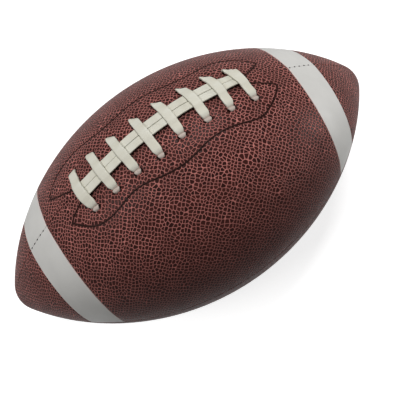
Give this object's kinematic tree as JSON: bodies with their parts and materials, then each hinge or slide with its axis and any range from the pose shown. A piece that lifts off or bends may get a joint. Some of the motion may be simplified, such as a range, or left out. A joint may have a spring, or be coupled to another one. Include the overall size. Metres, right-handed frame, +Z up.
{
  "type": "american football",
  "caption": "Inflatable american football: sewn pebbled panels with fabric linings and white stripes, a laced seam, and a bladder with a needle valve inside.",
  "frame": {"origin": "centre of the ball", "axes": "+X along the ball, tip to tip; +Z up through the laced seam; +Y across, away from the viewer of the picture"},
  "size_m": [0.286, 0.16, 0.1633],
  "materials": {
    "cover": "pebbled, satin",
    "lining": "woven, matte",
    "stripe": "smooth, satin",
    "seam_thread": "twisted, matte",
    "lace": "smooth coated, satin",
    "facing": "matte",
    "outline_thread": "twisted, matte",
    "tongue": "matte",
    "bladder": "matte",
    "valve_patch": "matte",
    "valve_housing": "satin",
    "valve_core": "satin"
  },
  "bodies": {
    "root": {"cover_front_top": "cover", "cover_rear_top": "cover", "cover_front_bottom": "cover", "cover_rear_bottom": "cover", "lining_front_top": "lining", "lining_rear_top": "lining", "lining_front_bottom": "lining", "lining_rear_bottom": "lining", "stripe_front_left": "stripe", "stripe_front_right": "stripe", "stripe_rear_left": "stripe", "stripe_rear_right": "stripe", "seam_thread_left": "seam_thread", "seam_thread_right": "seam_thread", "seam_thread_front": "seam_thread", "seam_thread_bottom": "seam_thread", "seam_thread_rear": "seam_thread", "lace": "lace", "lace_facing_front": "facing", "lace_facing_rear": "facing", "facing_thread_front": "outline_thread", "facing_thread_rear": "outline_thread", "lace_tongue": "tongue", "bladder": "bladder", "valve_patch": "valve_patch", "valve_housing": "valve_housing", "valve_core": "valve_core"}
  },
  "joints": []
}
